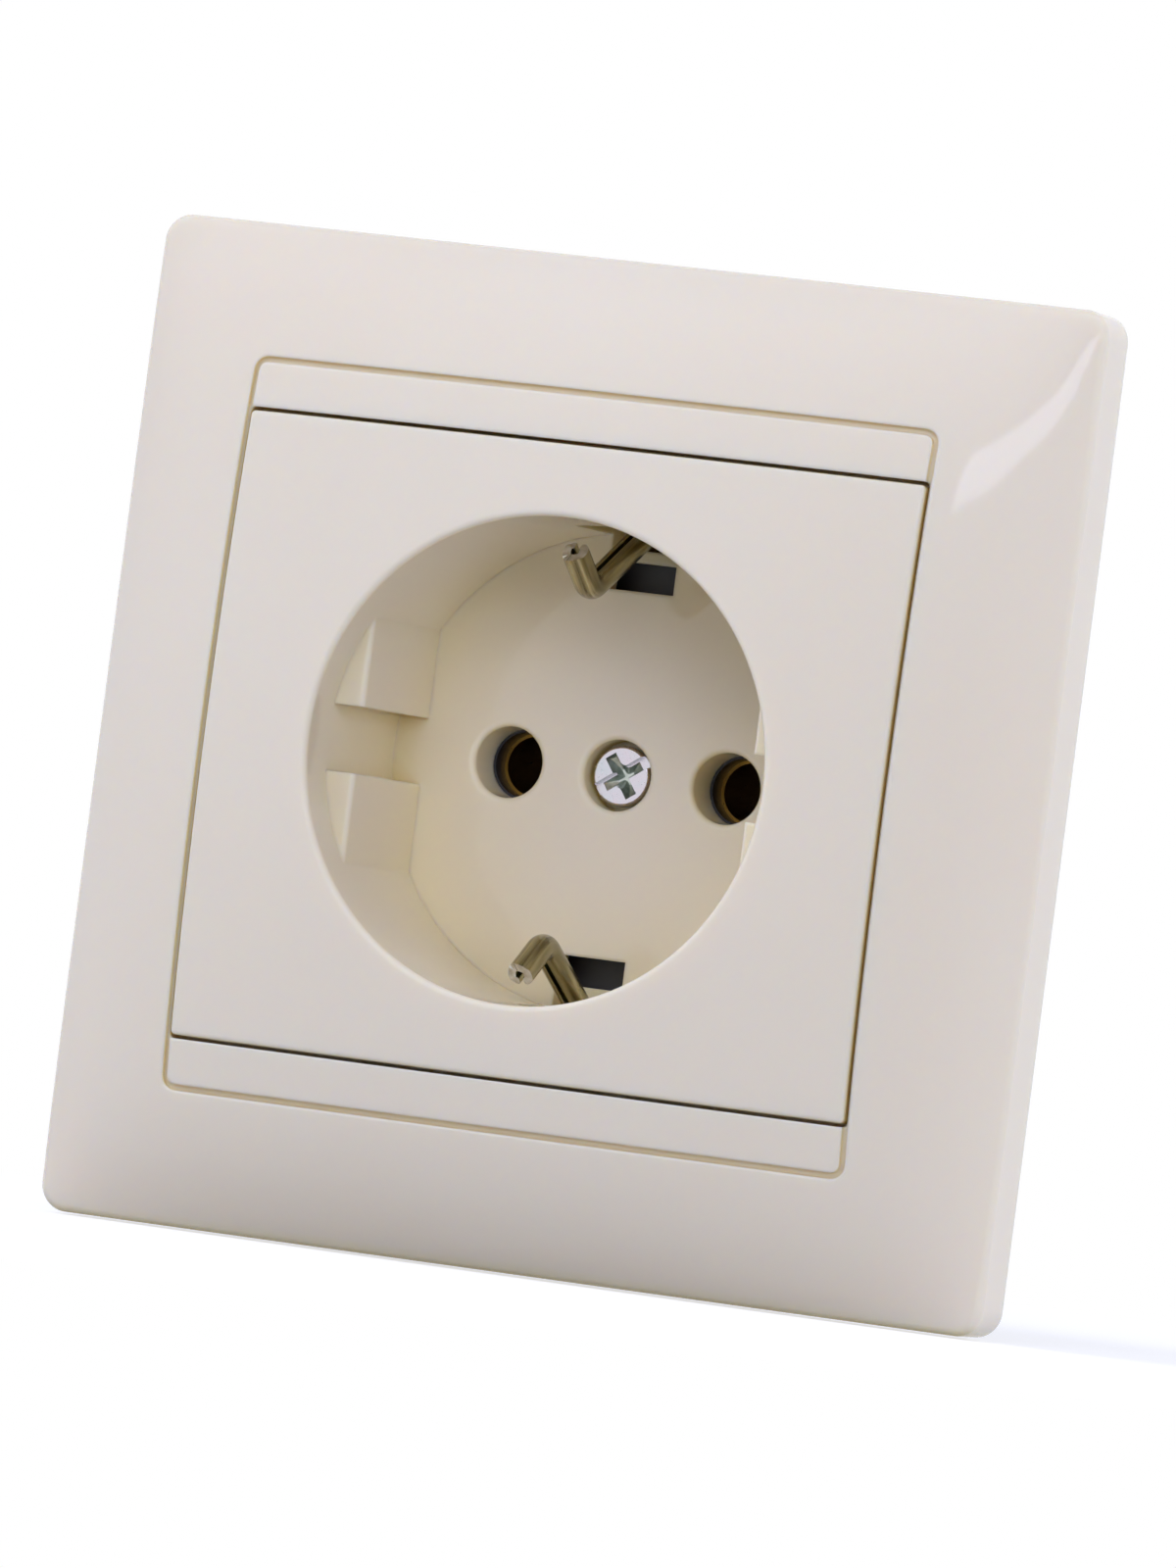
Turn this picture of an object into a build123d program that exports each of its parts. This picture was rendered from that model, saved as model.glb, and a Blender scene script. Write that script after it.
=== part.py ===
from build123d import *
import os

os.makedirs("parts", exist_ok=True)

# Flush socket outlet with side earth contacts, millimetres.
# Origin: well axis at the wall plane. +Z up, +Y into the wall, room side is -Y.
# Heights h are measured from the wall plane towards the room, so y = -h.

# frame and centre plate
frame_side = 81.5
plate_x = 58.0
plate_z = 50.6
frame_corner = 2.2
frame_edge = 5.0            # height of the upright outer edge
edge_round = 0.8
frame_wall = 2.0
crown_top = 13.3            # height of the front in the middle
crown_even = 0.46           # share of the fall that is spread evenly
crown_power = 8             # the rest gathers at the frame's edge
crown_steps = 20
groove_span_z = plate_z + 8.4       # strip groove, centre to centre
groove_width = 0.5
groove_depth = 0.45
ledge_thick = 1.5
ledge_reach = 1.6
collar_wall = 1.8
rib_size = 7.0
rib_place = 12.0

# plate edges and well
plate_gap = 0.3             # visible gap above and below the plate
side_gap = 0.2
plate_corner = 0.4
plate_round = 0.3
plate_back = 7.6            # height of the plate's rear rim
skirt_wall = 1.6
shell = 2.0
well_radius = 19.5
well_depth = 18.5
well_wall = 1.6
well_floor = 2.2
rim_round = 0.4
pin_pitch = 19.0
pin_hole = 2.9              # radius
pin_round = 0.45
boss_radius = 4.6
boss_depth = 4.3            # well floor to back of the bosses
partition = 2.0             # wall of the base behind the well
lug_face = well_radius - 2.7        # half distance between facing lug faces
lug_gap = 5.4
lug_top = 4.4               # below the rim
lug_round = 0.35

# heights of the front and of the well's floor
def swell(across):
    """share of the crown left at a place across the front, 1 in the middle and 0 at the edge"""
    u = across / (frame_side / 2)
    return 1 - crown_even * u**2 - (1 - crown_even) * u**crown_power


def front_height(x, z):
    """height of the front, a cushion with straight level edges"""
    return frame_edge + (crown_top - frame_edge) * swell(x) * swell(z)


rim_h = front_height(well_radius, 0)
floor_h = rim_h - well_depth
floor_back = floor_h - well_floor
recess_back = floor_h - boss_depth
part_back = recess_back - partition
rear_datum = round(part_back, 1)    # what stands behind the well is set back from here

# earth windows in the well
window_x = 5.8
window_start = well_radius - 4.6
window_top = 10.0           # below the rim
chimney_wall = 1.2
chimney_out = well_radius + 3.0
chimney_step = well_radius - 2.2
chimney_floor = 1.3
chimney_cap = 1.5
rod_hole_x = 3.5
rod_hole_in = well_radius - 1.2
rod_hole_out = well_radius + 2.8

# earth spring arms, rolled strip
rod_radius = 1.1
rod_bore = 0.4
rod_seam = 0.4
shear_angle = 17.0          # the tip is cut off at a slant
bridge_front = rear_datum - 1.0        # the strip that the roots stand on
arm_tip = (9.1, well_radius - 2.5)      # height, distance from the axis
arm_nose = (4.9, well_radius - 5.2)
arm_knee = (-6.4, well_radius + 0.4)
arm_root = (bridge_front + rod_radius, well_radius + 0.9)
nose_bend = 2.0
knee_bend = 5.0

# screw in the middle
screw_head = 2.65
screw_head_thick = 1.7
screw_sunk = 1.1
screw_shank = 1.5
screw_tip = rear_datum - 7.1
counterbore = 2.9
screw_pass = 1.7
drive_turn = 35.0
slot_width = 1.1
slot_deep = 0.6
cross_width = 1.0
cross_span = 3.8
cross_deep = 1.4
cross_round = 0.55
cross_taper = 12.0

# mounting plate
yoke_side = frame_side - 10.5
yoke_corner = 6.0
yoke_thick = 1.0
yoke_bore = well_radius + well_wall + 0.9
yoke_notch_x = window_x + 2 * chimney_wall + 1.4
yoke_notch_z = 2 * (chimney_out + chimney_wall + 0.5)
box_pitch = 60.0
box_slot_long = 7.0
box_slot_wide = 4.2
corner_hole = 1.6
corner_pitch = yoke_side - 14.0
tab_x = yoke_side / 2 - 2.5
tab_z = 9.0
tab_wide = 6.0
tab_thick = 1.0
tab_tall = 2.4

# fixings, on a circle just outside the plate's bore
fit = 0.05                  # running clearance, radial
rivet_shank = 1.5
rivet_head = 2.6
rivet_deep = 8.0
fix_circle = yoke_bore + rivet_head + 0.3
fix_pitch = 2**0.5 * fix_circle     # square pitch
fix_boss = 2.6

# insulating base
base_radius = fix_circle + 3.9
base_flat = 2 * base_radius - 5.6
base_wall = 1.6
base_rear = rear_datum - 11.6
recess_gap = 0.3
base_pin = 2.7
base_screw = 1.9
lid_thick = 2.0
lid_screw = 1.25
lid_screw_long = 9.0
wire_hole = 1.9

# brass pin sleeves
sleeve_bore = 2.45
sleeve_wall = 0.85
sleeve_slit = 0.8
sleeve_slit_end = rear_datum - 8.1
tail_wide = 5.0
tail_thick = 1.2
tail_front = rear_datum - 1.6
ring_wall = 0.6
ring_front = rear_datum - 5.6
ring_long = 2.0

# terminals: screw across the object, rising cage round the strip
term_x = 9.5
term_h = rear_datum - 6.0
strip_top = base_flat / 2 - 8.4
strip_end = rear_datum - 9.2
cage_half = 3.7
cage_side = 1.0
cage_depth = 6.0
cage_low = strip_top - 5.6
cage_low_wall = 1.0
cage_top_wall = 1.6
cage_play = 0.2
cage_travel = 2.6
clamp_shank = 1.75
clamp_head = 2.5
clamp_head_thick = 2.0
driver_hole = 2.2

# earth bridge
bridge_wide = 8.0
bridge_half = arm_root[1] + 2.8
branch_wide = 5.2
bridge_thick = 1.2
bridge_collar = 2.6
bridge_collar_long = 3.0
cradle_thick = 1.0
cradle_gap = 0.1
cradle_tall = 1.8

# derived heights

lug_h = rim_h - lug_top
window_h = rim_h - window_top
seat_h = floor_h - screw_sunk - screw_head_thick
win_x = plate_x + 2 * side_gap
win_z = plate_z + 2 * plate_gap
ledge_h = plate_back - ledge_thick
fix_xz = fix_pitch / 2
sleeve_out = sleeve_bore + sleeve_wall
base_in = base_radius - base_wall
flat_in = base_flat / 2 - base_wall
strip_low = strip_top - tail_thick
cage_top = strip_top + cage_play + cage_top_wall
clamp_low = cage_top + cage_travel + cage_play
front = (0, -1, 0)


def level(h):
    """plane parallel to the wall at height h, facing the room"""
    return Plane.XZ.offset(h)


def under_front(drop):
    """everything behind the front surface, lowered by drop"""
    reach = frame_side / 2 + 1.0
    places = [reach * (2 * i / crown_steps - 1) for i in range(crown_steps + 1)]
    rows = [[Vector(x, drop - front_height(x, z), z) for z in places] for x in places]
    skin = Face.make_surface_from_array_of_points(rows, tol=0.002)
    return Solid.extrude(skin, Vector(0, 45, 0))


front_block = under_front(0)
shell_block = under_front(shell)
groove_block = under_front(groove_depth)
bond_block = under_front(shell / 2)

# ---------------------------------------------------------------- frame
with BuildPart() as frame_inside:
    with BuildSketch(level(0)):
        RectangleRounded(frame_side - 2 * frame_wall, frame_side - 2 * frame_wall, 1.0)
    extrude(amount=crown_top)
    add(shell_block, mode=Mode.INTERSECT)

with BuildPart() as collar:
    with BuildSketch(level(ledge_h)):
        Rectangle(win_x + 2 * collar_wall, win_z + 2 * collar_wall)
    extrude(amount=crown_top - ledge_h)
    add(bond_block, mode=Mode.INTERSECT)

with BuildPart() as groove_ring:
    with BuildSketch(level(ledge_h)):
        RectangleRounded(win_x + groove_width, groove_span_z + groove_width, 1.2)
        RectangleRounded(win_x - groove_width, groove_span_z - groove_width, 0.7, mode=Mode.SUBTRACT)
    extrude(amount=crown_top - ledge_h)
    add(groove_block, mode=Mode.SUBTRACT)

with BuildPart() as outer_frame:
    with BuildSketch(level(0)):
        RectangleRounded(frame_side, frame_side, frame_corner)
    extrude(amount=crown_top + 1)
    add(front_block, mode=Mode.INTERSECT)
    face = outer_frame.faces().sort_by(Axis.Y)[0]
    fillet(face.edges(), edge_round)
    add(frame_inside.part, mode=Mode.SUBTRACT)
    add(collar.part)
    with BuildSketch(level(yoke_thick)):
        for sx in (-1, 1):
            for sz in (-1, 1):
                with Locations((sx * (win_x / 2 + 0.1), sz * (win_z / 2 - rib_size / 2 - 4))):
                    Rectangle(2 * collar_wall, rib_size)
                with Locations((sx * rib_place, sz * (win_z / 2 + 0.1))):
                    Rectangle(rib_size, 2 * collar_wall)
    extrude(amount=ledge_h - yoke_thick)
    with BuildSketch(level(plate_back)):
        RectangleRounded(win_x, win_z, plate_corner)
    extrude(amount=crown_top, mode=Mode.SUBTRACT)
    with BuildSketch(level(0)):
        Rectangle(win_x - 2 * ledge_reach, win_z - 2 * ledge_reach)
    extrude(amount=crown_top, mode=Mode.SUBTRACT)
    add(groove_ring.part, mode=Mode.SUBTRACT)
outer_frame.part.label = "outer_frame"
export_step(outer_frame.part, "parts/outer_frame.step")

# ---------------------------------------------------------------- centre plate with well
with BuildPart() as plate_inside:
    with BuildSketch(level(plate_back)):
        Rectangle(plate_x - 2 * skirt_wall, plate_z - 2 * skirt_wall)
    extrude(amount=crown_top - plate_back)
    add(shell_block, mode=Mode.INTERSECT)

with BuildPart() as cup_blank:
    with BuildSketch(level(floor_back)):
        Circle(well_radius + well_wall)
    extrude(amount=crown_top - floor_back)
    for sz in (-1, 1):
        with BuildSketch(level(floor_back)):
            with Locations((0, sz * (chimney_out + chimney_wall) / 2)):
                Rectangle(window_x + 2 * chimney_wall, chimney_out + chimney_wall)
        extrude(amount=window_h + chimney_cap - floor_back)
        with BuildSketch(level(floor_back - chimney_floor)):
            with Locations((0, sz * (chimney_out + chimney_wall + chimney_step) / 2)):
                Rectangle(window_x + 2 * chimney_wall, chimney_out + chimney_wall - chimney_step)
        extrude(amount=chimney_floor)
    with BuildSketch(level(recess_back)):
        with Locations((-pin_pitch / 2, 0), (0, 0), (pin_pitch / 2, 0)):
            Circle(boss_radius)
    extrude(amount=boss_depth)
    add(bond_block, mode=Mode.INTERSECT)

with BuildPart() as cover:
    with BuildSketch(level(plate_back)):
        RectangleRounded(plate_x, plate_z, plate_corner)
    extrude(amount=crown_top - plate_back)
    add(front_block, mode=Mode.INTERSECT)
    crown = cover.faces().sort_by(Axis.Y)[0]
    fillet(crown.edges(), plate_round)
    add(plate_inside.part, mode=Mode.SUBTRACT)
    add(cup_blank.part)
    with BuildSketch(level(floor_h)):
        Circle(well_radius)
    extrude(amount=crown_top - floor_h + 1, mode=Mode.SUBTRACT)
    bore = cover.faces().filter_by(GeomType.CYLINDER).sort_by(SortBy.AREA)[-1]
    rim = bore.edges().sort_by(Axis.Y)[0]
    fillet(rim, rim_round)
    # guide lugs, two each side of the horizontal centre line
    with BuildSketch(level(floor_h - 0.2)):
        for sx in (-1, 1):
            for sz in (-1, 1):
                with Locations((sx * (lug_face + 3), sz * (lug_gap / 2 + 5))):
                    Rectangle(6, 10)
        Circle(well_radius + 0.4, mode=Mode.INTERSECT)
    extrude(amount=lug_h - floor_h + 0.2)
    lug_tops = cover.edges().filter_by(Axis.Z).filter_by_position(Axis.Y, -lug_h - 0.01, -lug_h + 0.01)
    fillet(lug_tops, lug_round)
    # earth windows: through the floor, up the wall and into the chimney
    for sz in (-1, 1):
        with BuildSketch(level(floor_back)):
            with Locations((0, sz * (window_start + chimney_out) / 2)):
                Rectangle(window_x, chimney_out - window_start)
        extrude(amount=window_h - floor_back, mode=Mode.SUBTRACT)
        with BuildSketch(level(floor_back - chimney_floor - 0.5)):
            with Locations((0, sz * (rod_hole_in + rod_hole_out) / 2)):
                Rectangle(rod_hole_x, rod_hole_out - rod_hole_in)
        extrude(amount=chimney_floor + 1, mode=Mode.SUBTRACT)
    # pin holes with a light lead-in, and the screw's counterbore
    with Locations(level(floor_h)):
        with Locations((-pin_pitch / 2, 0), (pin_pitch / 2, 0)):
            Hole(pin_hole, boss_depth + 1)
        CounterBoreHole(screw_pass, counterbore, floor_h - seat_h, boss_depth + 1)
    holes = cover.edges().filter_by(lambda e: e.geom_type == GeomType.CIRCLE and e.radius == pin_hole)
    fillet(holes.filter_by_position(Axis.Y, -floor_h - 0.01, -floor_h + 0.01), pin_round)
cover.part.label = "cover"
export_step(cover.part, "parts/cover.step")

# ---------------------------------------------------------------- cover screw
with BuildPart() as cover_screw:
    with BuildSketch(level(seat_h)):
        Circle(screw_head)
    extrude(amount=screw_head_thick)
    head_edge = cover_screw.edges().sort_by(Axis.Y)[0]
    fillet(head_edge, 0.45)
    with BuildSketch(level(screw_tip)):
        Circle(screw_shank)
    extrude(amount=seat_h - screw_tip)
    tip_edge = cover_screw.edges().sort_by(Axis.Y)[-1]
    chamfer(tip_edge, 0.4)
    head_top = seat_h + screw_head_thick
    with BuildSketch(level(head_top - slot_deep)):
        with Locations(Rotation(0, 0, drive_turn)):
            Rectangle(2 * screw_head + 1, slot_width)
    extrude(amount=slot_deep + 0.5, mode=Mode.SUBTRACT)
    with BuildSketch(level(head_top)) as recess:
        with Locations(Rotation(0, 0, drive_turn)):
            Rectangle(cross_span, cross_width)
            Rectangle(cross_width, cross_span)
        fillet(recess.vertices().group_by(lambda v: round(abs(Vector(v.X, v.Z)), 2))[0], cross_round)
    extrude(amount=-cross_deep, taper=cross_taper, mode=Mode.SUBTRACT)
cover_screw.part.label = "cover_screw"
export_step(cover_screw.part, "parts/cover_screw.step")

# ---------------------------------------------------------------- mounting plate
with BuildPart() as mounting_plate:
    with BuildSketch(level(0)):
        RectangleRounded(yoke_side, yoke_side, yoke_corner)
        Circle(yoke_bore, mode=Mode.SUBTRACT)
        Rectangle(yoke_notch_x, yoke_notch_z, mode=Mode.SUBTRACT)
        with Locations((-box_pitch / 2, 0), (box_pitch / 2, 0)):
            SlotOverall(box_slot_long, box_slot_wide, mode=Mode.SUBTRACT)
        with Locations((0, -box_pitch / 2), (0, box_pitch / 2)):
            SlotOverall(box_slot_long, box_slot_wide, rotation=90, mode=Mode.SUBTRACT)
        with GridLocations(fix_pitch, fix_pitch, 2, 2):
            Circle(rivet_shank + fit, mode=Mode.SUBTRACT)
        with GridLocations(corner_pitch, corner_pitch, 2, 2):
            Circle(corner_hole, mode=Mode.SUBTRACT)
        for sx in (-1, 1):
            for sz in (-1, 1):
                with Locations((sx * (tab_x - 1.6), sz * tab_z)):
                    Rectangle(2.2, tab_wide, mode=Mode.SUBTRACT)
    extrude(amount=yoke_thick)
    # tabs bent forward out of the plate
    with BuildSketch(level(0)):
        for sx in (-1, 1):
            for sz in (-1, 1):
                with Locations((sx * tab_x, sz * tab_z)):
                    Rectangle(tab_thick, tab_wide)
    extrude(amount=yoke_thick + tab_tall)
mounting_plate.part.label = "mounting_plate"
export_step(mounting_plate.part, "parts/mounting_plate.step")

# ---------------------------------------------------------------- base
with BuildPart() as base:
    with BuildSketch(level(base_rear)):
        Circle(base_radius)
        Rectangle(base_flat, base_flat, mode=Mode.INTERSECT)
    extrude(amount=-base_rear)
    with BuildSketch(level(recess_back)):
        Circle(well_radius + well_wall + recess_gap)
        chimney_clear = window_x + 2 * (chimney_wall + recess_gap)
        Rectangle(chimney_clear, 2 * (chimney_out + chimney_wall + recess_gap))
    extrude(amount=-recess_back + 1, mode=Mode.SUBTRACT)
    # rear cavity with a boss in each corner
    with BuildSketch(level(base_rear)):
        Circle(base_in)
        Rectangle(2 * flat_in, 2 * flat_in, mode=Mode.INTERSECT)
        with GridLocations(fix_pitch, fix_pitch, 2, 2):
            Circle(fix_boss, mode=Mode.SUBTRACT)
    extrude(amount=part_back - base_rear, mode=Mode.SUBTRACT)
    # compartment ribs beside each terminal
    with BuildSketch(level(base_rear + 1)):
        for tx, sz in ((-term_x, 1), (term_x, 1), (term_x, -1)):
            for side in (-1, 1):
                with Locations((tx + side * (cage_half + 0.7), sz * (flat_in + cage_low) / 2)):
                    Rectangle(0.8, flat_in - cage_low + 0.6)
    extrude(amount=-15.2 - base_rear - 1)
    # collars round the sleeves and pads under the bridge
    with BuildSketch(level(part_back - 1.4)):
        with Locations((-pin_pitch / 2, 0), (pin_pitch / 2, 0)):
            Circle(sleeve_out + fit + 1.0)
    extrude(amount=1.4)
    with BuildSketch(level(bridge_front)):
        with Locations((0, -11), (0, 11)):
            Circle(1.6)
    extrude(amount=part_back - bridge_front)
    with BuildSketch(level(part_back - 1.4)):
        with Locations((-pin_pitch / 2, 0), (pin_pitch / 2, 0)):
            Circle(sleeve_out + fit)
    extrude(amount=1.4, mode=Mode.SUBTRACT)
    with BuildSketch(level(part_back - 2)):
        with Locations((-pin_pitch / 2, 0), (pin_pitch / 2, 0)):
            Circle(base_pin)
        Circle(base_screw)
        for sz in (-1, 1):
            with Locations((0, sz * (rod_hole_in + rod_hole_out) / 2)):
                Rectangle(window_x, rod_hole_out - rod_hole_in + 0.6)
    extrude(amount=partition + 3, mode=Mode.SUBTRACT)
    # fixing holes, front and rear
    with BuildSketch(level(-rivet_deep - 0.3)):
        with GridLocations(fix_pitch, fix_pitch, 2, 2):
            Circle(rivet_shank + fit)
    extrude(amount=rivet_deep + 1, mode=Mode.SUBTRACT)
    with BuildSketch(level(base_rear - 1)):
        with GridLocations(fix_pitch, fix_pitch, 2, 2):
            Circle(lid_screw + fit)
    extrude(amount=lid_screw_long + 1, mode=Mode.SUBTRACT)
    # driver holes over the clamp screws
    for tx, sz in ((-term_x, 1), (term_x, 1), (term_x, -1)):
        with Locations(Plane((tx, -term_h, sz * base_flat / 2), x_dir=(1, 0, 0), z_dir=(0, 0, sz))):
            Hole(driver_hole, 3)
base.part.label = "base"
export_step(base.part, "parts/base.step")

# ---------------------------------------------------------------- rear cover
with BuildPart() as rear_cover:
    with BuildSketch(level(base_rear - lid_thick)):
        Circle(base_radius)
        Rectangle(base_flat, base_flat, mode=Mode.INTERSECT)
        with GridLocations(fix_pitch, fix_pitch, 2, 2):
            Circle(lid_screw + 2 * fit, mode=Mode.SUBTRACT)
        with Locations((-term_x, (strip_low + cage_low + cage_low_wall) / 2)):
            Circle(wire_hole, mode=Mode.SUBTRACT)
        with Locations((term_x, (strip_low + cage_low + cage_low_wall) / 2)):
            Circle(wire_hole, mode=Mode.SUBTRACT)
        with Locations((term_x, -(strip_low + cage_low + cage_low_wall) / 2)):
            Circle(wire_hole, mode=Mode.SUBTRACT)
    extrude(amount=lid_thick)
    with BuildSketch(level(base_rear)):
        with Locations((0, -13), (0, 13)):
            Circle(2.0)
    extrude(amount=bridge_front - bridge_thick - base_rear)
    with BuildSketch(level(base_rear)):
        with Locations((-pin_pitch / 2, 0), (pin_pitch / 2, 0)):
            Circle(sleeve_out + fit + 1.0)
            Circle(sleeve_out + fit, mode=Mode.SUBTRACT)
    extrude(amount=2.0)
rear_cover.part.label = "rear_cover"
export_step(rear_cover.part, "parts/rear_cover.step")

# ---------------------------------------------------------------- fixings
with BuildPart() as yoke_rivets:
    with BuildSketch(level(-rivet_deep)):
        with GridLocations(fix_pitch, fix_pitch, 2, 2):
            Circle(rivet_shank)
    extrude(amount=rivet_deep + yoke_thick)
    with BuildSketch(level(yoke_thick)):
        with GridLocations(fix_pitch, fix_pitch, 2, 2):
            Circle(rivet_head)
    extrude(amount=0.9)
    heads = yoke_rivets.edges().filter_by_position(Axis.Y, -yoke_thick - 0.91, -yoke_thick - 0.89)
    fillet(heads, 0.6)
yoke_rivets.part.label = "yoke_rivets"
export_step(yoke_rivets.part, "parts/yoke_rivets.step")

with BuildPart() as rear_screws:
    with BuildSketch(level(base_rear - lid_thick)):
        with GridLocations(fix_pitch, fix_pitch, 2, 2):
            Circle(lid_screw)
    extrude(amount=lid_screw_long)
    with BuildSketch(level(base_rear - lid_thick - 1.6)):
        with GridLocations(fix_pitch, fix_pitch, 2, 2):
            Circle(rivet_head)
    extrude(amount=1.6)
    rear_edges = rear_screws.edges().group_by(Axis.Y)[-1]
    fillet(rear_edges, 0.5)
    with BuildSketch(level(base_rear - lid_thick - 1.6)):
        with GridLocations(fix_pitch, fix_pitch, 2, 2):
            Rectangle(0.7, 3.0)
            Rectangle(3.0, 0.7)
    extrude(amount=1.0, mode=Mode.SUBTRACT)
rear_screws.part.label = "rear_screws"
export_step(rear_screws.part, "parts/rear_screws.step")

# ---------------------------------------------------------------- pin sleeves with their tails
for name, side in (("sleeve_left", -1), ("sleeve_right", 1)):
    with BuildPart() as sleeve:
        sx = side * pin_pitch / 2
        with BuildSketch(level(base_rear)):
            with Locations((sx, 0)):
                Circle(sleeve_out)
        extrude(amount=part_back - base_rear)
        with BuildSketch(level(tail_front - tail_thick)):
            with Locations((sx, strip_top / 2)):
                Rectangle(tail_wide, strip_top)
        extrude(amount=tail_thick)
        with BuildSketch(level(strip_end)):
            with Locations((sx, (strip_top + strip_low) / 2)):
                Rectangle(tail_wide, tail_thick)
        extrude(amount=tail_front - strip_end)
        with BuildSketch(level(base_rear - 1)):
            with Locations((sx, 0)):
                Circle(sleeve_bore)
        extrude(amount=part_back - base_rear + 2, mode=Mode.SUBTRACT)
        with BuildSketch(level(sleeve_slit_end)):
            with Locations((sx, -sleeve_out)):
                Rectangle(sleeve_slit, 2 * sleeve_wall + 2)
        extrude(amount=part_back - sleeve_slit_end + 1, mode=Mode.SUBTRACT)
    sleeve.part.label = name
    export_step(sleeve.part, "parts/" + name + ".step")

for name, side in (("contact_ring_left", -1), ("contact_ring_right", 1)):
    with BuildPart() as ring:
        with BuildSketch(level(ring_front - ring_long)):
            with Locations((side * pin_pitch / 2, 0)):
                Circle(sleeve_out + fit + ring_wall)
                Circle(sleeve_out + fit, mode=Mode.SUBTRACT)
            with Locations((side * pin_pitch / 2, -sleeve_out - 0.5)):
                Rectangle(1.6, 3, mode=Mode.SUBTRACT)
        extrude(amount=ring_long)
    ring.part.label = name
    export_step(ring.part, "parts/" + name + ".step")

# ---------------------------------------------------------------- terminals
for name, tx, sz in (("left", -term_x, 1), ("right", term_x, 1), ("earth", term_x, -1)):
    across = Plane((tx, -term_h, 0), x_dir=(1, 0, 0), z_dir=(0, 0, sz))
    with BuildPart() as cage:
        with BuildSketch(across.offset(cage_low)):
            Rectangle(2 * cage_half, cage_depth)
        extrude(amount=cage_top - cage_low)
        with BuildSketch(across.offset(cage_low + cage_low_wall)):
            Rectangle(2 * (cage_half - cage_side), cage_depth + 1)
        extrude(amount=strip_top + cage_play - cage_low - cage_low_wall, mode=Mode.SUBTRACT)
        with BuildSketch(across.offset(cage_top - cage_top_wall - 0.5)):
            Circle(clamp_shank + fit)
        extrude(amount=cage_top_wall + 1, mode=Mode.SUBTRACT)
    cage.part.label = "cage_" + name
    export_step(cage.part, "parts/cage_" + name + ".step")
    with BuildPart() as clamp:
        with BuildSketch(across.offset(strip_top)):
            Circle(clamp_shank)
        extrude(amount=clamp_low - strip_top)
        with BuildSketch(across.offset(clamp_low)):
            Circle(clamp_head)
        extrude(amount=clamp_head_thick)
        with BuildSketch(across.offset(clamp_low + clamp_head_thick - 0.9)):
            Rectangle(2 * clamp_head + 1, 0.8)
        extrude(amount=1.5, mode=Mode.SUBTRACT)
    clamp.part.label = "clamp_screw_" + name
    export_step(clamp.part, "parts/clamp_screw_" + name + ".step")

# ---------------------------------------------------------------- earth bridge
with BuildPart() as earth_bridge:
    with BuildSketch(level(bridge_front - bridge_thick)):
        Rectangle(bridge_wide, 2 * bridge_half)
        with Locations(((term_x + tail_wide / 2) / 2, branch_wide / 2 - strip_top)):
            Rectangle(term_x + tail_wide / 2, branch_wide)
    extrude(amount=bridge_thick)
    with BuildSketch(level(bridge_front - bridge_thick - bridge_collar_long)):
        Circle(bridge_collar)
    extrude(amount=bridge_collar_long)
    with BuildSketch(level(strip_end)):
        with Locations((term_x, -(strip_top + strip_low) / 2)):
            Rectangle(tail_wide, tail_thick)
    extrude(amount=bridge_front - strip_end)
    # cradle ears beside each spring root
    with BuildSketch(level(bridge_front)):
        for sz in (-1, 1):
            for sx in (-1, 1):
                with Locations((sx * (rod_radius + cradle_gap + cradle_thick / 2), sz * arm_root[1])):
                    Rectangle(cradle_thick, 2.6)
    extrude(amount=cradle_tall)
    with BuildSketch(level(bridge_front - 5)):
        Circle(screw_shank + fit)
    extrude(amount=8, mode=Mode.SUBTRACT)
earth_bridge.part.label = "earth_bridge"
export_step(earth_bridge.part, "parts/earth_bridge.step")

# ---------------------------------------------------------------- earth spring arms
with BuildPart() as earth_arm_top:
    route = [(0, -h, r) for h, r in (arm_tip, arm_nose, arm_knee, arm_root)]
    tip = Vector(*route[0])
    along = (Vector(*route[1]) - tip).normalized()
    start = tip - along * rod_radius / 2
    with BuildLine() as spine:
        FilletPolyline(start, *route[1:], radius=(nose_bend, knee_bend))
    with BuildSketch(Plane(start, x_dir=(1, 0, 0), z_dir=along)):
        Circle(rod_radius)
        Circle(rod_bore, mode=Mode.SUBTRACT)
        with Locations((0, -rod_radius / 2)):
            Rectangle(rod_seam, rod_radius + 0.2, mode=Mode.SUBTRACT)
    sweep(path=spine.wires()[0])
    shear = Plane(tip, x_dir=(1, 0, 0), z_dir=along.rotate(Axis.X, -shear_angle))
    split(bisect_by=shear, keep=Keep.TOP)
    with Locations(Vector(*route[3])):
        Sphere(rod_radius)
earth_arm_top.part.label = "earth_arm_top"
export_step(earth_arm_top.part, "parts/earth_arm_top.step")

with BuildPart() as earth_arm_bottom:
    add(mirror(earth_arm_top.part, about=Plane.XY))
earth_arm_bottom.part.label = "earth_arm_bottom"
export_step(earth_arm_bottom.part, "parts/earth_arm_bottom.step")
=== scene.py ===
import bpy
import bmesh
import math
from mathutils import Matrix, Vector


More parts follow.
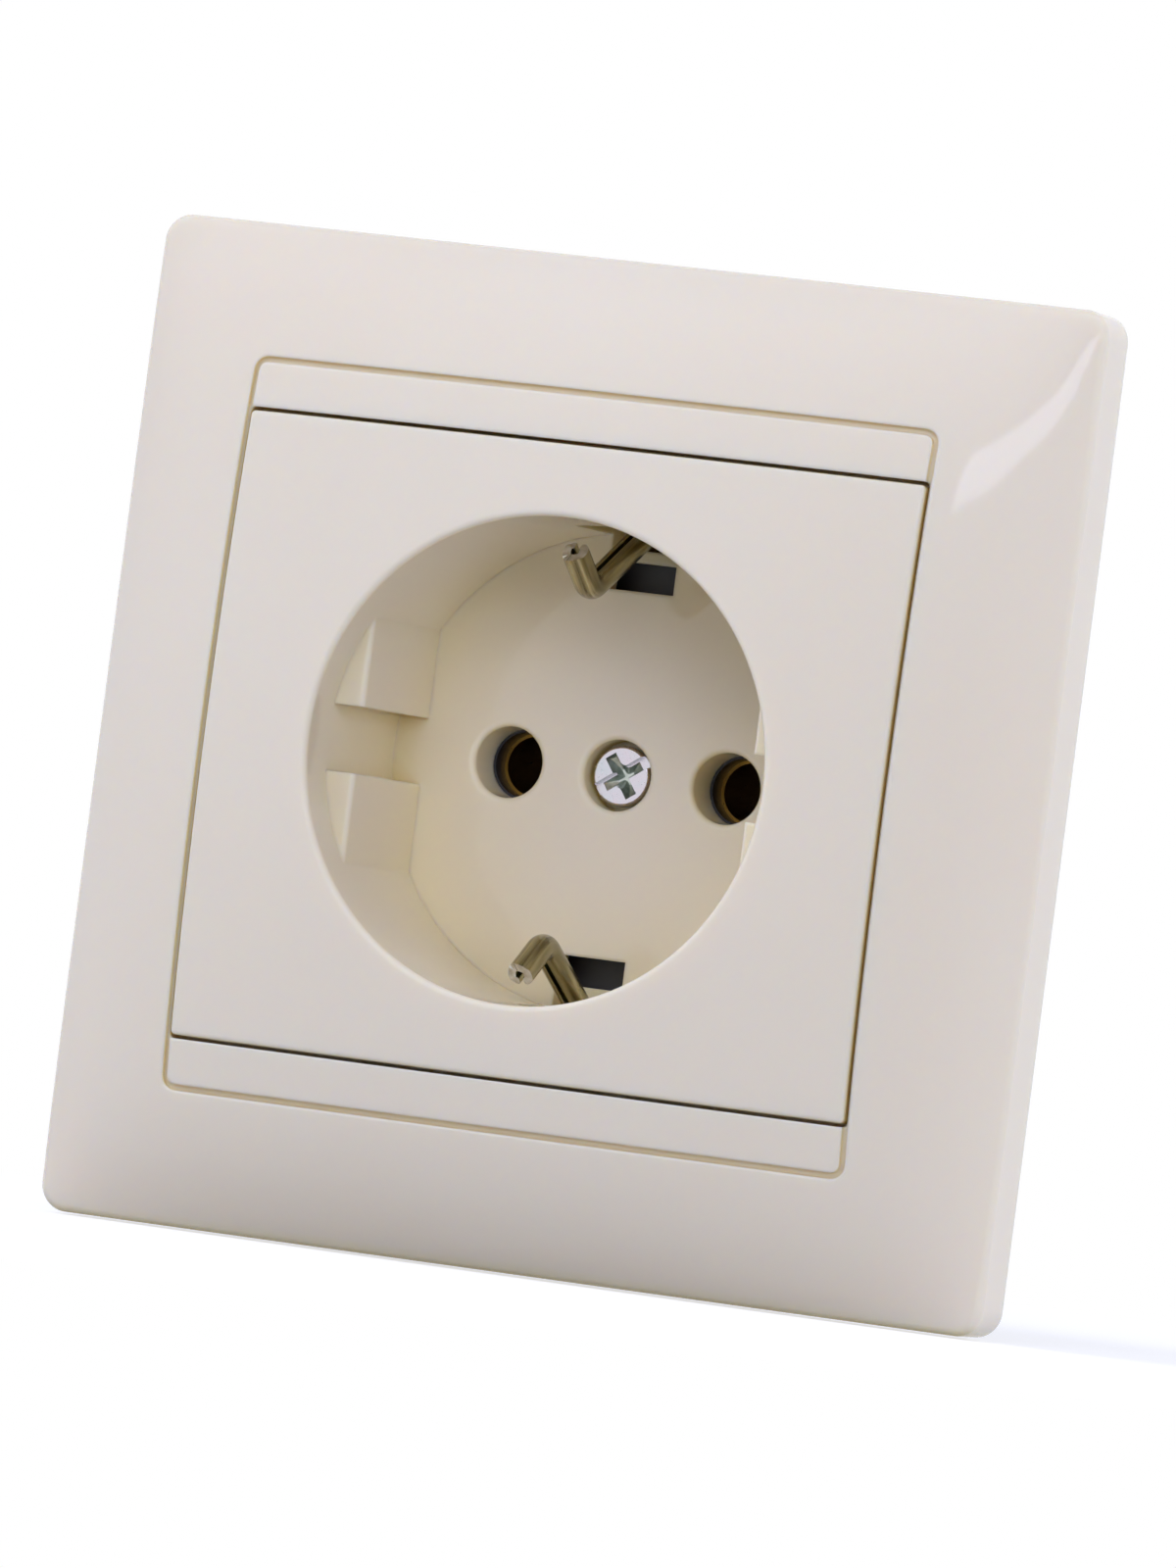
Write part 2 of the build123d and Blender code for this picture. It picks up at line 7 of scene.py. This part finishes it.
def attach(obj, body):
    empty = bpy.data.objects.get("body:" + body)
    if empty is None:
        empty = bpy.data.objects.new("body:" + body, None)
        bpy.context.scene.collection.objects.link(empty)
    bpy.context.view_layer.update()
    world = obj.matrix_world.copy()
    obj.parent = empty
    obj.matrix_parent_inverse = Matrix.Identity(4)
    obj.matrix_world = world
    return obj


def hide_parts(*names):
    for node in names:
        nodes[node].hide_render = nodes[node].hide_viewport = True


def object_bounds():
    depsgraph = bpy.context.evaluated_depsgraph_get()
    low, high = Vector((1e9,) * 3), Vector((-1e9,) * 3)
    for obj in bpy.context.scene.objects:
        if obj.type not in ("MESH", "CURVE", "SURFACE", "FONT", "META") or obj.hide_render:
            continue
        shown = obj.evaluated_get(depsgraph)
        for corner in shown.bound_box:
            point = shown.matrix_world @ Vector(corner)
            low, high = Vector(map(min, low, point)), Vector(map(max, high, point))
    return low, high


# Flush wall socket with side earth springs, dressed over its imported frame.
# Metres, same axes as the frame: +Z up, +Y into the wall, the room at -Y.
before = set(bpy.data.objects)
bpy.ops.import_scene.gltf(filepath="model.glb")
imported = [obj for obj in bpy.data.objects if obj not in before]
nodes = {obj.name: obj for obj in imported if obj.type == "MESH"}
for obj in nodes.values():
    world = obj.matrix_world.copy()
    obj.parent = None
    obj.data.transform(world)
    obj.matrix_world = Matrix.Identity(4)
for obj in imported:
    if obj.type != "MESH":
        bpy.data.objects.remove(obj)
cadBox = [list(corner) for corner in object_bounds()]
mm = 0.001
weld = 0.002 * mm
white = (1.0, 1.0, 1.0, 1.0)
print("frame loaded:", len(nodes), "nodes")


# ---- helpers
def linear(hexColour):
    parts = [int(hexColour[i:i + 2], 16) / 255 for i in (1, 3, 5)]
    return [p / 12.92 if p <= 0.04045 else ((p + 0.055) / 1.055) ** 2.4 for p in parts] + [1.0]


def addNode(tree, kind, links=None, values=None, **settings):
    # settings are the node's own properties, values its sockets, links where sockets come from
    node = tree.nodes.new(kind)
    for name, value in settings.items():
        setattr(node, name, value)
    for socket, value in (values or {}).items():
        node.inputs[socket].default_value = value
    for socket, source in (links or {}).items():
        tree.links.new(source, node.inputs[socket])
    return node


def mixColours(tree, share, colour, second):
    # a colour between two written ones
    mix = addNode(tree, "ShaderNodeMix", {"Factor": share}, {6: linear(colour), 7: linear(second)},
                  data_type="RGBA")
    return mix.outputs[2]


def between(tree, share, ends):
    # a level between two others
    spread = addNode(tree, "ShaderNodeMapRange", {"Value": share},
                     {"To Min": ends[0], "To Max": ends[1]})
    return spread.outputs["Result"]


def newMaterial(name):
    material = bpy.data.materials.new(name)
    material.use_nodes = True
    tree = material.node_tree
    tree.nodes.clear()
    return material, tree


def inScene(name, data):
    made = bpy.data.objects.new(name, data)
    bpy.context.scene.collection.objects.link(made)
    return made


# ---- finishes
# thermoplastic moulded in a polished steel tool: a clear gloss with a faint long waviness,
# a warm body that lets some light through, and edges that the tool leaves softly rounded
# hollows, grooves and the gaps between parts get painted shade: the body colour is darkened and
# yellowed by how enclosed a place is, in place of light that bounces inside them; each stop of
# "hollow" gives how open the place is and what the body colour is multiplied by
ivoryValues = {"colour": "#ECE1C8", "shade": "#EADDC2", "roughness": (0.04, 0.07), "ior": 1.53,
               "flowSize": 28 * mm, "waveSize": 7 * mm, "waveHeight": 0.01 * mm,
               "depth": 1.6 * mm, "depthByColour": (1.0, 0.8, 0.45), "share": 0.7,
               "edge": 0.42 * mm, "reach": 14 * mm, "gapShadeReach": 1.2 * mm,
               "hollow": ((0.0, (0.9, 0.72, 0.2)), (0.25, (1.0, 0.98, 0.76)),
                          (0.55, (1.0, 0.995, 0.91)), (1.0, (1.0, 1.0, 1.0)))}


def mouldedIvory(values):
    material, tree = newMaterial("ivory thermoplastic, gloss moulded")
    place = addNode(tree, "ShaderNodeTexCoord").outputs["Object"]
    flow = addNode(tree, "ShaderNodeTexNoise", {"Vector": place},
                   {"Scale": 1 / values["flowSize"], "Detail": 2.0, "Roughness": 0.5})
    tint = mixColours(tree, flow.outputs["Fac"], values["colour"], values["shade"])
    haze = between(tree, flow.outputs["Fac"], values["roughness"])
    wave = addNode(tree, "ShaderNodeTexNoise", {"Vector": place},
                   {"Scale": 1 / values["waveSize"], "Detail": 1.0})
    soft = addNode(tree, "ShaderNodeBevel", values={"Radius": values["edge"]}, samples=6)
    bump = addNode(tree, "ShaderNodeBump",
                   {"Height": wave.outputs["Fac"], "Normal": soft.outputs["Normal"]},
                   {"Distance": values["waveHeight"], "Strength": 1.0})
    # painted shade: occlusion within the part and from parts nearby darkens and yellows the body
    # colour below
    hollow = addNode(tree, "ShaderNodeAmbientOcclusion", values={"Distance": values["reach"]},
                     samples=4, only_local=True)
    gap = addNode(tree, "ShaderNodeAmbientOcclusion", values={"Distance": values["gapShadeReach"]},
                  samples=4)
    openness = addNode(tree, "ShaderNodeMath", {0: hollow.outputs["AO"], 1: gap.outputs["AO"]},
                       operation="MINIMUM")
    paintedShadeRamp = addNode(tree, "ShaderNodeValToRGB", {"Fac": openness.outputs[0]})
    stops = paintedShadeRamp.color_ramp.elements
    while len(stops) < len(values["hollow"]):
        stops.new(0.5)
    for held, (position, colour) in zip(stops, values["hollow"]):
        held.position, held.color = position, (*colour, 1.0)
    body = addNode(tree, "ShaderNodeMix", {6: tint, 7: paintedShadeRamp.outputs["Color"]}, {"Factor": 1.0},
                   data_type="RGBA", blend_type="MULTIPLY")
    shader = addNode(tree, "ShaderNodeBsdfPrincipled",
                     {"Base Color": body.outputs[2], "Roughness": haze,
                      "Normal": bump.outputs["Normal"]},
                     {"IOR": values["ior"], "Subsurface Weight": values["share"],
                      "Subsurface Radius": values["depthByColour"],
                      "Subsurface Scale": values["depth"]})
    addNode(tree, "ShaderNodeOutputMaterial", {"Surface": shader.outputs["BSDF"]})
    return material


# glass-filled polyamide, moulded: near black, satin, with a fine spark-eroded grain
blackValues = {"colour": "#26252A", "roughness": (0.34, 0.5), "ior": 1.53, "grain": 0.35 * mm,
               "grainHeight": 0.012 * mm}


def mouldedBlack(values):
    material, tree = newMaterial("black polyamide, moulded")
    place = addNode(tree, "ShaderNodeTexCoord").outputs["Object"]
    grain = addNode(tree, "ShaderNodeTexNoise", {"Vector": place},
                    {"Scale": 1 / values["grain"], "Detail": 3.0})
    bump = addNode(tree, "ShaderNodeBump", {"Height": grain.outputs["Fac"]},
                   {"Distance": values["grainHeight"], "Strength": 1.0})
    haze = between(tree, grain.outputs["Fac"], values["roughness"])
    shader = addNode(tree, "ShaderNodeBsdfPrincipled",
                     {"Roughness": haze, "Normal": bump.outputs["Normal"]},
                     {"Base Color": linear(values["colour"]), "IOR": values["ior"]})
    addNode(tree, "ShaderNodeOutputMaterial", {"Surface": shader.outputs["BSDF"]})
    return material


def platedMetal(name, values):
    # two tints drift over a few millimetres, with drawn or ground lines along one axis;
    # where a line colour is given, the deepest lines are stained
    material, tree = newMaterial(name)
    place = addNode(tree, "ShaderNodeTexCoord").outputs["Object"]
    drift = addNode(tree, "ShaderNodeTexNoise", {"Vector": place},
                    {"Scale": 1 / values["driftSize"], "Detail": 3.0})
    body = mixColours(tree, drift.outputs["Fac"], values["colour"], values["second"])
    lines = addNode(tree, "ShaderNodeMapping", {"Vector": place}, {"Scale": values["lineStretch"]})
    brush = addNode(tree, "ShaderNodeTexNoise", {"Vector": lines.outputs["Vector"]},
                    {"Scale": 1 / values["lineSize"], "Detail": 2.0})
    haze = between(tree, brush.outputs["Fac"], values["roughness"])
    bump = addNode(tree, "ShaderNodeBump", {"Height": brush.outputs["Fac"]},
                   {"Distance": values["lineHeight"], "Strength": 1.0})
    if "lineColour" in values:
        stain = addNode(tree, "ShaderNodeMapRange", {"Value": brush.outputs["Fac"]},
                        {"From Min": values["lineTop"], "From Max": values["lineFoot"],
                         "To Max": values["lineShare"]})
        body = addNode(tree, "ShaderNodeMix", {"Factor": stain.outputs["Result"], 6: body},
                       {7: linear(values["lineColour"])}, data_type="RGBA").outputs[2]
    shader = addNode(tree, "ShaderNodeBsdfPrincipled",
                     {"Base Color": body, "Roughness": haze, "Normal": bump.outputs["Normal"]},
                     {"Metallic": 1.0})
    addNode(tree, "ShaderNodeOutputMaterial", {"Surface": shader.outputs["BSDF"]})
    return material


# barrel zinc on steel, blue passivated: pale blue-grey with pink and green patches
zincValues = {"colour": "#C3D3DA", "second": "#E3CBD9", "driftSize": 1.6 * mm,
              "roughness": (0.16, 0.34), "lineStretch": (1.0, 1.0, 1.0),
              "lineSize": 0.25 * mm, "lineHeight": 0.003 * mm}
# punched steel sheet, zinc plated, rolling lines along its length
sheetValues = {"colour": "#B9BCBF", "second": "#C9C8C2", "driftSize": 9 * mm,
               "roughness": (0.26, 0.44), "lineStretch": (0.12, 1.0, 1.0),
               "lineSize": 0.3 * mm, "lineHeight": 0.004 * mm}
# nickel over brass strip, rolled round: warm grey with drawing lines along the rod
nickelValues = {"colour": "#D2CCB0", "second": "#AFA782", "driftSize": 3 * mm,
                "roughness": (0.16, 0.34), "lineStretch": (1.0, 0.04, 0.04),
                "lineSize": 0.35 * mm, "lineHeight": 0.01 * mm,
                "lineColour": "#544C32", "lineShare": 0.6, "lineTop": 0.56, "lineFoot": 0.38}
# the same strip where it was sheared: bare, bright and wiped smooth
shearValues = {"colour": "#F7F5EE", "second": "#847B5C", "driftSize": 0.7 * mm,
               "roughness": (0.08, 0.26), "lineStretch": (1.0, 1.0, 1.0),
               "lineSize": 0.3 * mm, "lineHeight": 0.006 * mm}
# brass strip, punched and bent, a little tarnished
brassValues = {"colour": "#C39A4A", "second": "#9C7430", "driftSize": 4 * mm,
               "roughness": (0.22, 0.4), "lineStretch": (1.0, 0.25, 1.0),
               "lineSize": 0.25 * mm, "lineHeight": 0.004 * mm}
# tempered spring steel ring, ground
springValues = {"colour": "#8E9096", "second": "#7C7D83", "driftSize": 3 * mm,
                "roughness": (0.22, 0.4), "lineStretch": (1.0, 0.3, 1.0),
                "lineSize": 0.2 * mm, "lineHeight": 0.003 * mm}

# pressed recess of a plated screw head: painted shade, a darker grey in place of the plating below
# the top and slot
recessValues = {"colour": "#8F9994", "second": "#DDE3DE", "grain": 0.5 * mm, "roughness": 0.3,
                "top": 7.87 * mm, "bottom": 8.0 * mm, "reach": 2.3 * mm, "wall": 0.85,
                "level": 0.85, "steep": 0.7}


def pressedRecess(material, values):
    # painted shade: the plated colour gives way to a darker grey by depth into the head and on the
    # recess's walls, with its own roughness there
    tree = material.node_tree
    shader = next(n for n in tree.nodes if n.type == "BSDF_PRINCIPLED")
    place = next(n for n in tree.nodes if n.type == "TEX_COORD").outputs["Object"]
    parts = addNode(tree, "ShaderNodeSeparateXYZ", {"Vector": place})
    deep = addNode(tree, "ShaderNodeMapRange", {"Value": parts.outputs["Y"]},
                   {"From Min": values["top"], "From Max": values["bottom"]}).outputs["Result"]
    across = addNode(tree, "ShaderNodeCombineXYZ",
                     {"X": parts.outputs["X"], "Z": parts.outputs["Z"]})
    reach = addNode(tree, "ShaderNodeVectorMath", {0: across.outputs["Vector"]},
                    operation="LENGTH")
    inner = addNode(tree, "ShaderNodeMath", {0: reach.outputs["Value"]}, {1: values["reach"]},
                    operation="LESS_THAN").outputs[0]
    normal = addNode(tree, "ShaderNodeNewGeometry").outputs["True Normal"]
    facing = addNode(tree, "ShaderNodeSeparateXYZ", {"Vector": normal}).outputs["Y"]
    level = addNode(tree, "ShaderNodeMath", {0: facing}, operation="ABSOLUTE").outputs[0]
    steep = addNode(tree, "ShaderNodeMapRange", {"Value": level},
                    {"From Min": values["level"], "From Max": values["steep"],
                     "To Max": values["wall"]}).outputs["Result"]
    wall = addNode(tree, "ShaderNodeMath", {0: steep, 1: inner}, operation="MULTIPLY").outputs[0]
    share = addNode(tree, "ShaderNodeMath", {0: deep, 1: wall}, operation="MAXIMUM").outputs[0]
    grain = addNode(tree, "ShaderNodeTexNoise", {"Vector": place}, {"Scale": 1 / values["grain"]})
    recessShade = mixColours(tree, grain.outputs["Fac"], values["colour"], values["second"])
    plated = shader.inputs["Base Color"].links[0].from_socket
    haze = shader.inputs["Roughness"].links[0].from_socket
    # painted shade: the darker recess grey replaces the plated colour by this share
    colour = addNode(tree, "ShaderNodeMix", {"Factor": share, 6: plated, 7: recessShade}, data_type="RGBA")
    rough = addNode(tree, "ShaderNodeMix", {"Factor": share, "A": haze}, {"B": values["roughness"]})
    tree.links.new(colour.outputs[2], shader.inputs["Base Color"])
    tree.links.new(rough.outputs["Result"], shader.inputs["Roughness"])
    return material


ivory = mouldedIvory(ivoryValues)
black = mouldedBlack(blackValues)
zinc = platedMetal("steel, blue passivated zinc", zincValues)
sheet = platedMetal("steel sheet, zinc plated", sheetValues)
nickel = platedMetal("brass strip, nickel plated", nickelValues)
sheared = platedMetal("brass strip, sheared bright", shearValues)
brass = platedMetal("brass strip, punched", brassValues)
springSteel = platedMetal("spring steel, ground", springValues)
screwZinc = pressedRecess(platedMetal("screw steel, plated, pressed recess", zincValues),
                          recessValues)
print("finishes ready")

# clamp screws and cages are zinc plated as well
finishOf = {
    "outer_frame": ivory, "cover": ivory, "base": black, "rear_cover": black,
    "mounting_plate": sheet, "yoke_rivets": zinc, "rear_screws": zinc, "cover_screw": zinc,
    "earth_arm_top": nickel, "earth_arm_bottom": nickel, "earth_bridge": brass,
    "sleeve_left": brass, "sleeve_right": brass,
    "contact_ring_left": springSteel, "contact_ring_right": springSteel,
}
for name, node in nodes.items():
    finish = finishOf.get(name, zinc)
    node.data.materials.clear()
    node.data.materials.append(finish)


# ---- pieces built here in place of their plain solids
def addPiece(name, build, finish, body, *replaced, sharp=40):
    # merges doubles, turns the faces outward, shades it smooth but for edges of more than sharp
    # degrees, and puts it on its body
    bmesh.ops.remove_doubles(build, verts=build.verts, dist=weld)
    bmesh.ops.recalc_face_normals(build, faces=build.faces)
    for face in build.faces:
        face.smooth = True
    for edge in build.edges:
        edge.smooth = edge.calc_face_angle(0.0) < math.radians(sharp)
    mesh = bpy.data.meshes.new(name)
    build.to_mesh(mesh)
    build.free()
    mesh.materials.append(finish)
    piece = inScene(name, mesh)
    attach(piece, body)
    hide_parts(*replaced)
    return piece


def roundEdges(piece, width, segments, angle):
    bevel = piece.modifiers.new("edges", "BEVEL")
    bevel.width, bevel.segments, bevel.profile, bevel.material = width, segments, 0.5, -1
    bevel.limit_method, bevel.angle_limit = "ANGLE", math.radians(angle)
    bevel.harden_normals = bevel.use_clamp_overlap = True


# cover screw: pressed head with a slot and a cross, its edges softened by the plating
# the head is drawn in past its rim to keep its room in the counterbore, and the cross narrows
# from the slot's floor down
screwValues = {"edge": 0.08 * mm, "segments": 3, "angle": 35,
               "rim": 2.2 * mm, "draw": 0.6, "neck": 9.0 * mm,
               "cross": 1.9 * mm, "slotFloor": 7.87 * mm, "crossFloor": 8.65 * mm, "taper": 0.62}


def pressedHead(mesh, v):
    build = bmesh.new()
    build.from_mesh(mesh)
    bmesh.ops.remove_doubles(build, verts=build.verts, dist=weld)
    for vert in build.verts:
        reach, y = math.hypot(vert.co.x, vert.co.z), vert.co.y
        shrink = 1.0
        if reach > v["rim"] and y < v["neck"]:
            shrink = (v["rim"] + (reach - v["rim"]) * v["draw"]) / reach
        elif reach < v["cross"] and v["slotFloor"] < y < v["crossFloor"]:
            depth = (y - v["slotFloor"]) / (v["crossFloor"] - v["slotFloor"])
            shrink = 1 - v["taper"] * depth
        vert.co.x *= shrink
        vert.co.z *= shrink
    return build


coverScrew = addPiece("cover_screw_dressed", pressedHead(nodes["cover_screw"].data, screwValues),
                      screwZinc, "screw", "cover_screw")
roundEdges(coverScrew, screwValues["edge"], screwValues["segments"], screwValues["angle"])
print("cover screw ready")

# earth spring arms: brass strip rolled into a tube with an open seam, bent twice and sheared off
# route points are (height from the wall, distance from the axis), the same as the solids have;
# they and the bends' radii are in mm, and nickTurn is where the tip is crushed, in radians
armValues = {"radius": 1.1 * mm, "bore": 0.4 * mm, "seam": 0.36 * mm, "lip": 0.16 * mm,
             "route": ((-13.38, 20.49), (-6.4, 19.9), (4.9, 14.3), (9.1, 17.0)),
             "bends": (5.0, 2.0), "around": 40, "lipTurns": (60, 30, 0),
             "perBend": 12, "perStraight": 4, "perTip": 6,
             "slant": 17.0, "nick": 0.5 * mm, "nickTurn": -2.36, "tear": 0.05 * mm,
             "tearWaves": ((3, 0.7, 1.0), (7, 2.0, 0.6), (13, 0.0, 0.5))}


def tubeProfile(v):
    # cross-section of the rolled strip, with its seam towards +v and rounded lips beside it
    outer, bore, lip = v["radius"], v["bore"], v["lip"]
    half = v["seam"] / 2
    opening = math.asin((half + lip) / outer)
    top = outer * math.cos(opening)
    lipTurns = [math.radians(angle) for angle in v["lipTurns"]]
    inner = math.asin(half / bore)

    def arc(radius, gap, steps):
        span = 2 * math.pi - 2 * gap
        return [(radius * math.cos(math.pi / 2 + gap + span * i / steps),
                 radius * math.sin(math.pi / 2 + gap + span * i / steps)) for i in range(steps + 1)]

    right = [(half + lip - lip * math.cos(t), top - lip + lip * math.sin(t)) for t in lipTurns]
    left = [(-a, b) for a, b in reversed(right)]
    hollow = arc(bore, inner, v["around"] // 2)[::-1]
    return arc(outer, opening, v["around"]) + right + hollow + left


def bendsOf(route, radii):
    # for each inner corner: where its bend starts, the centre and the turn, anticlockwise positive
    found = []
    for before, corner, after, radius in zip(route, route[1:], route[2:], radii):
        into, out = (corner - before).normalized(), (after - corner).normalized()
        turn = -into.angle_signed(out)
        start = corner - into * radius * math.tan(abs(turn) / 2)
        found.append((start, start + Vector((-into.y, into.x)) * math.copysign(radius, turn), turn))
    return found


def rolledArm(side, v):
    # the route lies in the plane x = 0; side is 1 for the top arm and -1 for the bottom one
    def place(point, across=0.0):
        return Vector((across, point.x, side * point.y))

    def push(face, move, steps):
        for _ in range(steps):
            made = bmesh.ops.extrude_face_region(build, geom=[face])["geom"]
            bmesh.ops.translate(build, vec=move / steps,
                                verts=[g for g in made if isinstance(g, bmesh.types.BMVert)])
            face = next(g for g in made if isinstance(g, bmesh.types.BMFace))
        return face

    route = [Vector((-h, r)) * mm for h, r in v["route"]]
    build = bmesh.new()
    into = (route[1] - route[0]).normalized()
    away = Vector((into.y, -into.x))
    away *= math.copysign(1.0, away.y)
    section = [place(route[0] + away * b, a) for a, b in tubeProfile(v)]
    face = build.faces.new([build.verts.new(point) for point in section])
    here = route[0]
    for start, centre, turn in bendsOf(route, [radius * mm for radius in v["bends"]]):
        face = push(face, place(start - here), v["perStraight"])
        spun = bmesh.ops.spin(build, geom=[face], cent=place(centre), axis=(1, 0, 0),
                              angle=side * turn, steps=v["perBend"], use_duplicate=False)
        face = next(g for g in spun["geom_last"] if isinstance(g, bmesh.types.BMFace))
        here = Matrix.Rotation(turn, 2) @ (start - centre) + centre
        away = Matrix.Rotation(turn, 2) @ away
    face = push(face, place(route[-1] - here), v["perTip"])
    # only the first and the last cross-section stay as faces, the ones inside the rod go
    ends = [f for f in build.faces if len(f.verts) > 4]
    bmesh.ops.delete(build, geom=[f for f in ends[1:] if f is not face], context="FACES_ONLY")
    shearTip(build, face, place(route[-1]), place((route[-1] - here).normalized()), place(away), v)
    return build


def shearTip(build, face, middle, out, away, v):
    # the cut leans back from the axis, tears a little all round and is crushed on one side
    across = Vector((1, 0, 0))
    for vert in face.verts:
        a, b = (vert.co - middle).dot(across), (vert.co - middle).dot(away)
        turn = math.atan2(b, a)
        tear = sum(size * math.sin(count * turn + start) for count, start, size in v["tearWaves"])
        crushed = max(0.0, math.cos(turn - v["nickTurn"])) ** 3 * math.hypot(a, b) / v["radius"]
        slant = b * math.tan(math.radians(v["slant"]))
        vert.co += out * (v["tear"] * tear - slant - v["nick"] * crushed)
    made = bmesh.ops.triangulate(build, faces=[face])["faces"]
    for cut in made:
        cut.material_index = 1
    inner = dict.fromkeys(e for f in made for e in f.edges if all(g in made for g in e.link_faces))
    bmesh.ops.subdivide_edges(build, edges=list(inner), cuts=1)


for side, body, node in ((1, "arm_top", "earth_arm_top"), (-1, "arm_bottom", "earth_arm_bottom")):
    arm = addPiece(node + "_rolled", rolledArm(side, armValues), nickel, body, node)
    arm.data.materials.append(sheared)
print("earth arms ready")


# ---- floor, light and camera
# lift is the glow that brings the floor up to white for what looks straight at it, and its
# shadow fades into the white beyond from near to far
stageValues = {"floorHalf": 2.0, "drop": 0.2 * mm, "floorColour": "#B4B4B4", "lift": 0.65,
               "near": 0.07, "far": 0.15}
# ambient is the world's light on the socket, seen the white behind it
worldValues = {"ambient": 0.18, "daylight": (0.942, 1.0, 1.31, 1.0), "seen": 1.0}
# name, azimuth, elevation, distance, size, power, and whether glossy faces mirror the lamp
lampValues = (("window left", -50, 45, 0.9, (0.6, 0.6), 3.8, False),
              ("soft right", 45, 8, 1.0, (0.5, 0.5), 2.4, False),
              ("soft left", -65, 10, 1.0, (0.5, 0.5), 1.2, False),
              ("edge right", 100, 5, 1.0, (0.5, 0.8), 5.3, False),
              ("soft front", 10, 30, 1.0, (0.5, 0.5), 2.2, False),
              ("front strip", 21, 15.5, 1.25, (0.56, 0.11), 0.4, True),
              ("rear soft", 165, 30, 1.1, (0.8, 0.8), 5.0, False))
# the camera stands at the right, level with the socket, and leans to one side
cameraValues = {"azimuth": 21.458, "elevation": -0.945, "roll": 7.418, "distance": 977.5 * mm,
                "aim": (0.09 * mm, 0.0, -1.09 * mm), "lens": 279.8, "sensor": 36,
                "clip": (0.05, 20)}


def outwards(azimuth, elevation):
    # azimuth 0 stands in front of the socket, 90 on its right seen from the room
    a, e = math.radians(azimuth), math.radians(elevation)
    return Vector((math.sin(a) * math.cos(e), -math.cos(a) * math.cos(e), math.sin(e)))


def seenStraight(tree):
    # 1 for the rays that look at a thing or its mirror image, 0 for those that gather light
    path = addNode(tree, "ShaderNodeLightPath")
    seen = path.outputs["Is Camera Ray"]
    for ray in ("Is Glossy Ray", "Is Transmission Ray"):
        seen = addNode(tree, "ShaderNodeMath", {0: seen, 1: path.outputs[ray]},
                       operation="MAXIMUM").outputs[0]
    return seen


def paperFloor(values):
    material, tree = newMaterial("paper floor")
    diffuse = addNode(tree, "ShaderNodeBsdfDiffuse",
                      values={"Color": linear(values["floorColour"])})
    glow = addNode(tree, "ShaderNodeEmission", values={"Color": white, "Strength": values["lift"]})
    near = addNode(tree, "ShaderNodeAddShader", {0: diffuse.outputs[0], 1: glow.outputs[0]})
    beyond = addNode(tree, "ShaderNodeEmission", values={"Color": white, "Strength": 1.0})
    place = addNode(tree, "ShaderNodeTexCoord").outputs["Object"]
    away = addNode(tree, "ShaderNodeVectorMath", {0: place}, operation="LENGTH")
    fade = addNode(tree, "ShaderNodeMapRange", {"Value": away.outputs["Value"]},
                   {"From Min": values["near"], "From Max": values["far"]})
    shown = addNode(tree, "ShaderNodeMixShader",
                    {0: fade.outputs["Result"], 1: near.outputs[0], 2: beyond.outputs[0]})
    mix = addNode(tree, "ShaderNodeMixShader",
                  {0: seenStraight(tree), 1: diffuse.outputs[0], 2: shown.outputs[0]})
    addNode(tree, "ShaderNodeOutputMaterial", {"Surface": mix.outputs[0]})
    return material


def areaLamp(name, azimuth, elevation, distance, size, power, mirrored):
    data = bpy.data.lights.new(name, "AREA")
    data.shape = "RECTANGLE"
    data.size, data.size_y = size
    data.energy = power
    data.color = worldValues["daylight"][:3]
    lamp = inScene(name, data)
    away = outwards(azimuth, elevation)
    lamp.location = away * distance
    lamp.rotation_mode = "QUATERNION"
    lamp.rotation_quaternion = away.to_track_quat("Z", "Y")
    lamp.visible_glossy = mirrored


floorZ = cadBox[0][2] - stageValues["drop"]
floorBuild = bmesh.new()
bmesh.ops.create_grid(floorBuild, x_segments=1, y_segments=1, size=stageValues["floorHalf"],
                      matrix=Matrix.Translation((0, 0, floorZ)))
floorMesh = bpy.data.meshes.new("floor")
floorBuild.to_mesh(floorMesh)
floorBuild.free()
floorMesh.materials.append(paperFloor(stageValues))
floor = inScene("floor", floorMesh)

world = bpy.data.worlds.new("studio")
bpy.context.scene.world = world
world.use_nodes = True
tree = world.node_tree
tree.nodes.clear()
soft = addNode(tree, "ShaderNodeBackground",
               values={"Color": worldValues["daylight"], "Strength": worldValues["ambient"]})
plain = addNode(tree, "ShaderNodeBackground",
                values={"Color": white, "Strength": worldValues["seen"]})
both = addNode(tree, "ShaderNodeMixShader",
               {0: seenStraight(tree), 1: soft.outputs[0], 2: plain.outputs[0]})
addNode(tree, "ShaderNodeOutputWorld", {"Surface": both.outputs[0]})
for lampRow in lampValues:
    areaLamp(*lampRow)

back = outwards(cameraValues["azimuth"], cameraValues["elevation"])
roll = math.radians(cameraValues["roll"])
levelRight = Vector((0, 0, 1)).cross(back).normalized()
levelUp = back.cross(levelRight)
right = levelRight * math.cos(roll) + levelUp * math.sin(roll)
turn = Matrix((right, back.cross(right), back)).transposed().to_4x4()
stand = Vector(cameraValues["aim"]) + back * cameraValues["distance"]
cameraData = bpy.data.cameras.new("camera")
cameraData.sensor_width = cameraValues["sensor"]
cameraData.lens = cameraValues["lens"]
cameraData.clip_start, cameraData.clip_end = cameraValues["clip"]
camera = inScene("camera", cameraData)
camera.matrix_world = Matrix.Translation(stand) @ turn
bpy.context.scene.camera = camera
bpy.context.scene.view_settings.view_transform = "Standard"

print("scene ready")
